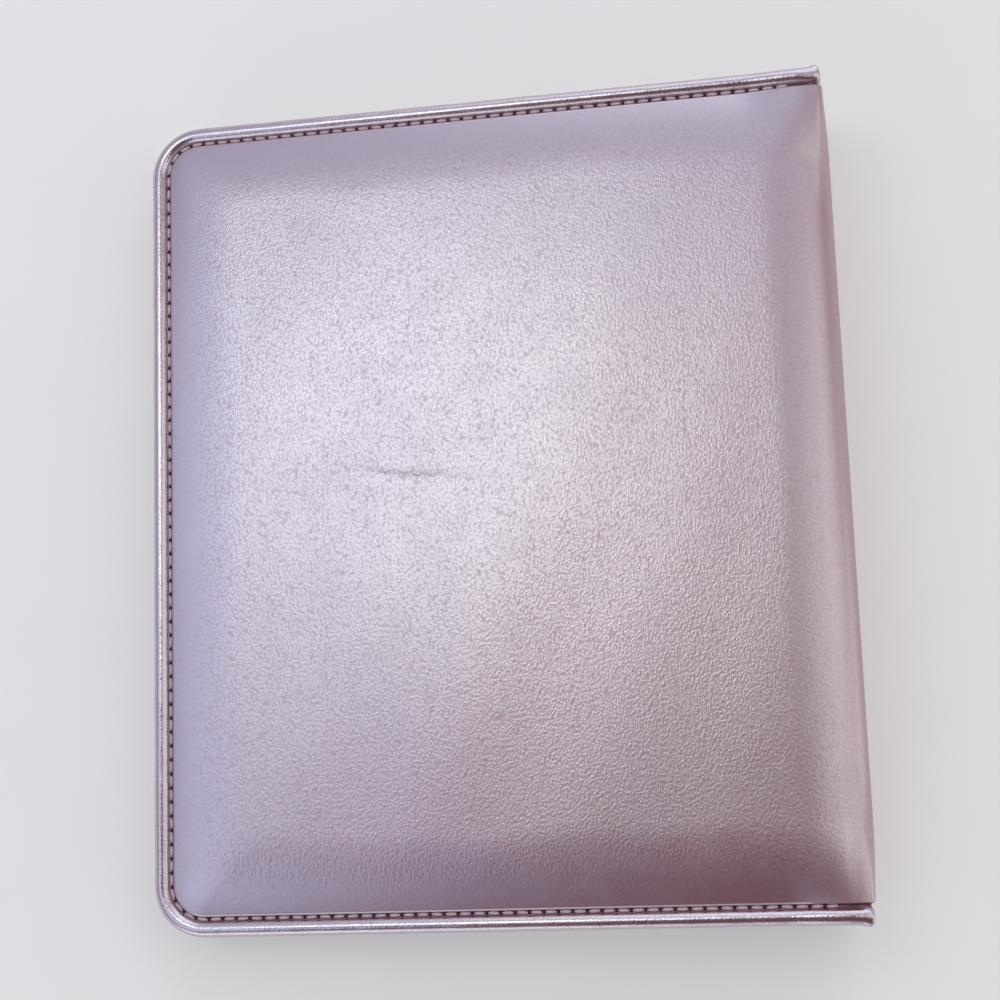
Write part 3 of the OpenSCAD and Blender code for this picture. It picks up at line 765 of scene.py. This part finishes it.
# slip pockets on the linings, with a turned hem and a row of stitches
pocket = {
    "flat": (103.5 * mm, 225.3 * mm), "t": 0.55 * mm, "lift": 0.02 * mm, "clear": 0.15 * mm, "rows": 40,
    "columns": 40, "hemColumns": 26, "hemW": 12 * mm, "gap": 1 * mm, "hem": 9 * mm, "bead": 0.18 * mm,
    "seamIn": 5 * mm, "seamEnd": 3 * mm, "seamPoints": 30,
}
pocketEnd = inside["edge"] + pocket["flat"][0] - planner["coverL"]
seam = {"inset": 5.02 * mm, "innerInset": 6.6 * mm, "stop": 4 * mm, "lift": 0.28 * mm,
        "steps": {"spineSteps": 2, "foldSteps": 2, "coverSteps": 60, "arcSteps": 12, "rows": 60}, "spinePoints": 8}


def seamLine(side, p, y, depth, inner=False):
    points = layOut(side, p, y, depth)
    normals = layOut(side, p, y, depth - 1 * mm) - points
    return points, (-normals if inner else normals) / mm


def coverSeam(side, inset, depthOf, inner):
    tailP, tailY, foreY = coverPath(inset, planner["cornerR"] - inset, **seam["steps"])
    keep = tailP <= -seam["stop"]
    p, y = wholePath(np.concatenate([[-seam["stop"]], tailP[keep]]), np.concatenate([[tailY[0]], tailY[keep]]), foreY)
    return seamLine(side, p, y, depthOf(p), inner)


def outerThread(p):
    return rollCentre(p) - pad["grooveUp"] - seam["lift"]


def innerThread(p):
    return np.where(p < pocketEnd, planner["panelT"] + pocket["t"], planner["panelT"])


for side, body in covers.items():
    row = sewRows(side + "Stitches", [coverSeam(side, seam["inset"], outerThread, False)], stitch)
    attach(row, body)
    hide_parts(side + "_stitching")
    innerLine = coverSeam(side, seam["innerInset"], innerThread, True)
    inner = sewRows(side + "LiningStitches", [innerLine], liningStitch)
    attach(inner, body)

spineLines = []
for s in (-1, 1):
    for side in ("front", "back"):
        p = np.linspace(foldArc + seam["stop"], spineMid, seam["spinePoints"])
        spineLines.append(seamLine(side, p, s * (halfH - seam["inset"]), outerThread(p)))
spineRow = sewRows("spineStitches", spineLines, stitch)
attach(spineRow, "spine")
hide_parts("spine_stitching")
print("stitches done")


def liningColumns(fromP, steps):
    # columns from the fold to the fore edge, shorter where the corners are round
    cornerP = inside["edge"] + inside["cornerR"] - planner["coverL"]
    turn = np.linspace(0, math.pi / 2, 13)[1:]
    half = halfH - inside["edge"] - inside["cornerR"] * (1 - np.cos(turn))
    return (np.concatenate([np.linspace(fromP, cornerP, steps), cornerP - inside["cornerR"] * np.sin(turn)]),
            np.concatenate([np.full(steps, halfH - inside["edge"]), half]))


def liningFaces(side, p, underP, half):
    # the upper face, and the underside that lies against the board and its end
    y = np.asarray(half)[:, None] * np.linspace(-1, 1, inside["rows"])[None, :]
    down = turnDown["depth"]
    face = np.concatenate([down, np.full(len(p) - len(down), planner["panelT"])])
    under = np.maximum(face - inside["t"], inside["boardEnd"])
    return layOut(side, p[:, None], y, face[:, None]), layOut(side, underP[:, None], y, under[:, None])


def foldStrip(side):
    # slack in small pleats while the planner is closed; its ends turn out to the groove, so that no gap shows there
    strip = np.linspace(inside["stripIn"], foldArc - inside["stripIn"], inside["stripColumns"])[:, None]
    share = (strip - strip[0]) / (strip[-1] - strip[0])
    pleat = inside["pleatH"] / 2 * (1 - np.cos(2 * math.pi * inside["pleats"] * share))
    end, band = halfH - inside["stripEnd"], inside["endBand"]
    ends = np.linspace(0, band, inside["endRows"])
    middle = np.linspace(band - end, end - band, inside["middleRows"])[1:-1]
    across = np.concatenate([ends - end, middle, end - ends[::-1]])[None, :]
    turned = ease(halfH - inside["turnFrom"], halfH - inside["turnTo"], abs(across))
    outer = np.minimum(rollCentre(strip) + inside["underRoll"], inside["gutter"])
    depth = inside["gutter"] + (outer - inside["gutter"]) * turned + pleat * (1 - turned)
    return shellBetween(side + "FoldLining", layOut(side, strip, across, depth),
                        layOut(side, strip, across, depth - inside["t"]), lining)


for side, body in covers.items():
    p, half = liningColumns(-inside["flatFrom"], inside["columns"])
    p = np.concatenate([turnDown["p"], p])
    half = np.concatenate([np.full(len(turnDown["p"]), half[0]), half])
    sheet = shellBetween(side + "Lining", *liningFaces(side, p, np.minimum(p, -inside["clear"]), half), lining)
    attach(sheet, body)
    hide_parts(side + "_lining")
    gutter = foldStrip(side)
    start, end = foldEnds(side, planner["foldR"] - inside["gutter"])
    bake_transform(gutter)
    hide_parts(side + "_fold_lining")

# spine lining, turned down at both folds
halves = []
for side in ("front", "back"):
    flatP = np.linspace(foldArc + inside["flatFrom"], spineMid, inside["spineColumns"])
    p = np.concatenate([foldArc - turnDown["p"], flatP])
    half = np.full(len(p), halfH - inside["edge"])
    halves.append(liningFaces(side, p, np.maximum(p, foldArc + inside["clear"]), half))
top, under = (np.concatenate([front, back[::-1][1:]]) for front, back in zip(*halves))
spineSheet = shellBetween("spineLining", top, under, lining)
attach(spineSheet, "spine")
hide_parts("spine_lining")


def hemBead(p):
    # a fat turned edge, and a lower ridge where the hem ends
    fromEdge = pocketEnd - p
    edge = np.exp(-((fromEdge - 0.7 * mm) / (0.7 * mm)) ** 2)
    return pocket["bead"] * (edge + 0.5 * np.exp(-((fromEdge - pocket["hem"]) / (0.8 * mm)) ** 2))


for side, body in covers.items():
    near = np.linspace(pocketEnd, pocketEnd - pocket["hemW"], pocket["hemColumns"])
    p, half = liningColumns(near[-1] - pocket["gap"], pocket["columns"])
    p = np.concatenate([near, p])[:, None]
    half = np.concatenate([np.full(len(near), half[0]), half])[:, None]
    y = (half - pocket["clear"]) * np.linspace(-1, 1, pocket["rows"])[None, :]
    under = planner["panelT"] + pocket["lift"]
    panel = shellBetween(side + "Pocket", layOut(side, p, y, under + pocket["t"] + hemBead(p)),
                         layOut(side, p, y, under), lining)
    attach(panel, body)
    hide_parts(side + "_pocket")
    hemY = np.linspace(-1, 1, pocket["seamPoints"]) * (halfH - inside["edge"] - pocket["seamEnd"])
    hemLine = seamLine(side, pocketEnd - pocket["seamIn"], hemY, planner["panelT"] + pocket["t"], True)
    hem = sewRows(side + "PocketStitches", [hemLine], pocketStitch)
    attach(hem, body)
print("linings and pockets done")

# the ring frame: v across the spine, u from the lining towards the fore edge
ringFrame = {"x": 83.0159 * mm, "z": 22.02 * mm, "u": 9.2 * mm, "ringZ": 11.5224 * mm, "ringR": 11.3 * mm}


def ringPlace(v, y, u):
    c, s = math.cos(planner["lean"]), math.sin(planner["lean"])
    u = np.asarray(u, float) - ringFrame["u"]
    v, y = np.asarray(v, float), np.asarray(y, float)
    return np.stack(np.broadcast_arrays(ringFrame["x"] - u * c - v * s, y, ringFrame["z"] - u * s + v * c), -1)


# pages and tabbed dividers, punched for the rings
leaves = {
    "w": 148 * mm, "h": 210 * mm, "corner": 2.5 * mm, "holeD": 6.4 * mm, "holeIn": 6 * mm, "holeShift": 0.55 * mm,
    "holePoints": 24, "ringYs": [s * (35 + 19 * k) * mm for s in (-1, 1) for k in range(3)],
    "gap": 0.2 * mm, "packT": 4 * mm, "cardT": 0.4 * mm, "cardFill": 0.9,
    "tabLen": 44 * mm, "tabOut": 7 * mm, "tabCorner": 2.6 * mm, "tabSlope": 1.2 * mm, "tabTurn": 78,
    "sheets": 12, "sheetT": 0.085 * mm, "jitter": 0.12 * mm, "seed": 3,
}
sheetStack = {"front": ["pages_2", "divider_1", "pages_1"], "back": ["divider_2", "pages_3", "divider_3", "pages_4"]}
tabFar = leaves["h"] / 2 - leaves["tabLen"] / 2 - leaves["tabLen"] / 6
tabYs = {"divider_1": tabFar, "divider_2": 0.0, "divider_3": -tabFar}


def arcPoints(cx, cy, r, a0, a1, n):
    angles = [math.radians(a0 + (a1 - a0) * k / n) for k in range(n + 1)]
    return [(cx + r * math.cos(a), cy + r * math.sin(a)) for a in angles]


def sheetOutline(tabY=None):
    # from the inner edge (u = 0) round the sheet, with rounded outer corners and a tab
    w, h, r = leaves["w"], leaves["h"] / 2, leaves["corner"]
    points = [(0, -h)] + arcPoints(w - r, -h + r, r, -90, 0, 5)
    if tabY is not None:
        t, q, turn = leaves["tabLen"] / 2, leaves["tabCorner"], leaves["tabTurn"]
        tabU, tabV = w + leaves["tabOut"] - q, t - q - leaves["tabSlope"]
        points += [(w, tabY - t)] + arcPoints(tabU, tabY - tabV, q, -turn, 0, 5)
        points += arcPoints(tabU, tabY + tabV, q, 0, turn, 5) + [(w, tabY + t)]
    return points + arcPoints(w - r, h - r, r, 0, 90, 5) + [(0, h)]


def flatSheet(name, outline, thickness, v, holeU):
    # a punched sheet, filled as a flat curve and then laid into the ring frame
    curve = bpy.data.curves.new(name, "CURVE")
    curve.dimensions, curve.fill_mode, curve.extrude = "2D", "BOTH", thickness / 2
    count = leaves["holePoints"]
    holes = [arcPoints(leaves["holeIn"], y, leaves["holeD"] / 2, 0, 360 - 360 / count, count - 1)
             for y in leaves["ringYs"]]
    for ring in [outline] + holes:
        spline = curve.splines.new("POLY")
        spline.points.add(len(ring) - 1)
        for point, (a, b) in zip(spline.points, ring):
            point.co = (a, b, 0, 1)
        spline.use_cyclic_u = True
    holder = newObject(name + "Curve", curve)
    bpy.context.view_layer.update()
    view = bpy.context.evaluated_depsgraph_get()
    mesh = bpy.data.meshes.new_from_object(holder.evaluated_get(view))
    bpy.data.objects.remove(holder)
    work = bmesh.new()
    work.from_mesh(mesh)
    bmesh.ops.remove_doubles(work, verts=work.verts, dist=1e-7)
    uvLayer = work.loops.layers.uv.get("UVMap") or work.loops.layers.uv.new("UVMap")
    for face in work.faces:
        for loop in face.loops:
            loop[uvLayer].uv = (loop.vert.co.x / leaves["w"], loop.vert.co.y / leaves["h"] + 0.5)
    for vert in work.verts:
        a, b, c = vert.co
        vert.co = Vector(ringPlace(v + c, b, holeU - leaves["holeIn"] + a))
    bmesh.ops.recalc_face_normals(work, faces=work.faces)
    work.to_mesh(mesh)
    work.free()
    return mesh


def stackTree():
    tree, w = newTree("pageStack", [("Count", "Int"), ("Step", "Vector"), ("Jitter", "Float"), ("Seed", "Int"),
                                    ("Paper", "Material")])
    given = w.add("NodeGroupInput")
    line = w.add("GeometryNodeMeshLine", {"mode": "OFFSET"},
                 {"Count": given.other("Count"), "Offset": given.other("Step")})
    amount = given.other("Jitter")
    low = w.add("ShaderNodeCombineXYZ", {}, {0: amount * -1.0, 1: amount * -1.0})
    high = w.add("ShaderNodeCombineXYZ", {}, {0: amount, 1: amount})
    shift = w.add("FunctionNodeRandomValue", {"data_type": "FLOAT_VECTOR"},
                  {0: low, 1: high, "Seed": given.other("Seed")})
    line = w.add("GeometryNodeSetPosition", {}, {"Geometry": line, "Offset": shift})
    placed = w.add("GeometryNodeInstanceOnPoints", {}, {"Points": line, "Instance": given})
    real = w.add("GeometryNodeRealizeInstances", {}, {"Geometry": placed})
    done = w.add("GeometryNodeSetMaterial", {}, {"Geometry": real, "Material": given.other("Paper")})
    w.add("NodeGroupOutput", {}, {0: done})
    return tree


pileTree = stackTree()
for side, names in sheetStack.items():
    sign = 1 if side == "back" else -1
    dividers = sum(n in tabYs for n in names)
    sectionT = (leaves["packT"] - dividers * leaves["cardT"]) / (len(names) - dividers)
    at = leaves["gap"]
    for name in names:
        t = leaves["cardT"] if name in tabYs else sectionT
        holeU = ringFrame["ringZ"] + math.sqrt(ringFrame["ringR"] ** 2 - (at + t / 2) ** 2) + leaves["holeShift"]
        if name in tabYs:
            outline = sheetOutline(tabYs[name])
            mesh = flatSheet(name, outline, t * leaves["cardFill"], sign * (at + t / 2), holeU)
            piece = newObject("card_" + name, mesh, cards[name])
        else:
            step = t / leaves["sheets"]
            mesh = flatSheet(name, sheetOutline(), leaves["sheetT"], sign * (at + step / 2), holeU)
            holder = newObject(name + "Sheet", mesh)
            toward = ringPlace(sign * step, 0, 0) - ringPlace(0, 0, 0)
            runTree(holder, pileTree, {"Count": leaves["sheets"], "Step": tuple(toward), "Jitter": leaves["jitter"],
                                       "Seed": leaves["seed"] + len(name) + int(name[-1]), "Paper": paper})
            piece = plainMesh(holder, "stack_" + name)
        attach(piece, side + "_pages")
        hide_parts(name)
        at += t
print("pages and dividers done")

# solids that keep their shape get their finishes
for name, node in nodes.items():
    if "half_ring" in name or name in ("upper_lever", "lower_lever", "rivets"):
        finish = ringChrome
    elif name in ("ring_casing", "front_leaf", "back_leaf", "lever_pins"):
        finish = casingSteel
    elif name.endswith("board"):
        finish = board
    else:
        continue
    node.data.materials.clear()
    node.data.materials.append(finish)

# pale floor and room, dim overhead, where the soft boxes hang
stage = {
    "floor": (0.70, 0.69, 0.68, 1), "floorDull": (0.67, 0.66, 0.65, 1), "floorLift": (0.27, 0.27, 0.27, 1),
    "floorRough": 0.9, "speckScale": 40, "half": 6, "below": 0.3 * mm,
    "sky": [(0.0, (0.54, 0.54, 0.545, 1)), (0.3, (0.46, 0.46, 0.475, 1)),
            (0.65, (0.06, 0.06, 0.07, 1)), (1.0, (0.03, 0.03, 0.035, 1))],
}


def makeFloor():
    half, z = stage["half"], cadBox[0].z - stage["below"]
    mesh = bpy.data.meshes.new("floor")
    mesh.from_pydata([(-half, -half, z), (half, -half, z), (half, half, z), (-half, half, z)], [], [(0, 1, 2, 3)])
    material, w = newMaterial("floorPaint")
    speck = noise(w, objectPlace(w), stage["speckScale"], 3.0)
    ray = w.add("ShaderNodeLightPath", out="Is Camera Ray")
    shown = (ray + ray.other("Is Glossy Ray") + ray.other("Is Transmission Ray")).limit()
    finishMaterial(w, principled(w, {
        "Base Color": speck.blend(stage["floor"], stage["floorDull"]), "Roughness": stage["floorRough"],
        "Emission Color": shown.blend((0, 0, 0, 1), stage["floorLift"]), "Emission Strength": 1.0}))
    newObject("floor", mesh, material)


def makeSky():
    scene.world = bpy.data.worlds.new("studio")
    scene.world.use_nodes = True
    scene.world.node_tree.nodes.clear()
    w = Wire(scene.world.node_tree)
    height = w.add("ShaderNodeSeparateXYZ", {}, {0: w.add("ShaderNodeTexCoord", out="Generated")}, out=2)
    tone = w.add("ShaderNodeValToRGB", {"stops": stage["sky"]}, {0: height})
    w.add("ShaderNodeOutputWorld", {}, {0: w.add("ShaderNodeBackground", {}, {0: tone})})


def softBox(name, place, target, size, watts, color):
    lamp = bpy.data.lights.new(name, "AREA")
    lamp.shape, lamp.size, lamp.size_y = "RECTANGLE", size[0], size[1]
    lamp.energy, lamp.color = watts, color
    holder = newObject(name, lamp)
    holder.location = place
    holder.rotation_euler = (Vector(target) - Vector(place)).to_track_quat("-Z", "Y").to_euler()


def softSun(name, toward, strength, spread, color):
    lamp = bpy.data.lights.new(name, "SUN")
    lamp.energy, lamp.angle, lamp.color = strength, math.radians(spread), color
    holder = newObject(name, lamp)
    holder.location = Vector(toward) * 2
    holder.rotation_euler = Vector(toward).to_track_quat("Z", "Y").to_euler()


makeFloor()
makeSky()
# soft boxes overhead give the sheen, low wide lamps light the floor and the sides evenly
softBox("keyLight", (-0.38, 0.25, 1.2), (0, 0.05, 0.03), (0.44, 0.44), 1.7, (1.0, 0.98, 0.90))
softBox("skyPanel", (-0.25, 1.0, 1.25), (0, 0.1, 0.03), (2.2, 1.2), 5.4, (0.68, 0.79, 1.0))
softBox("leftPanel", (-1.0, -0.15, 1.2), (0, 0, 0.03), (1.5, 0.8), 4.4, (0.70, 0.79, 1.0))
softBox("rightPanel", (0.75, 0.12, 1.2), (0, 0, 0.03), (0.8, 1.4), 3.8, (1.0, 0.95, 0.92))
softSun("headSun", (0.25, 0.9, 0.46), 0.65, 60, (1.0, 0.98, 0.97))
softSun("rightSun", (0.92, -0.22, 0.22), 0.35, 44, (1.0, 0.98, 0.96))
softSun("frontSun", (-0.42, -0.88, 0.22), 0.4, 44, (1.0, 0.98, 0.96))

# the camera's place, and its focal length as a share of the picture's width
eye = {
    "sensor": 36.0, "focalShare": 1.741505, "near": 0.01,
    "place": ((0.99876, 0.0392, 0.03083, 0.01621348), (-0.03389, 0.98701, -0.15704, -0.07634565),
              (-0.03659, 0.1558, 0.98711, 0.50987236), (0, 0, 0, 1)),
}
lens = bpy.data.cameras.new("camera")
lens.sensor_width, lens.lens, lens.clip_start = eye["sensor"], eye["sensor"] * eye["focalShare"], eye["near"]
camera = newObject("camera", lens)
camera.matrix_world = Matrix(eye["place"])
scene.camera = camera
print("stage done")
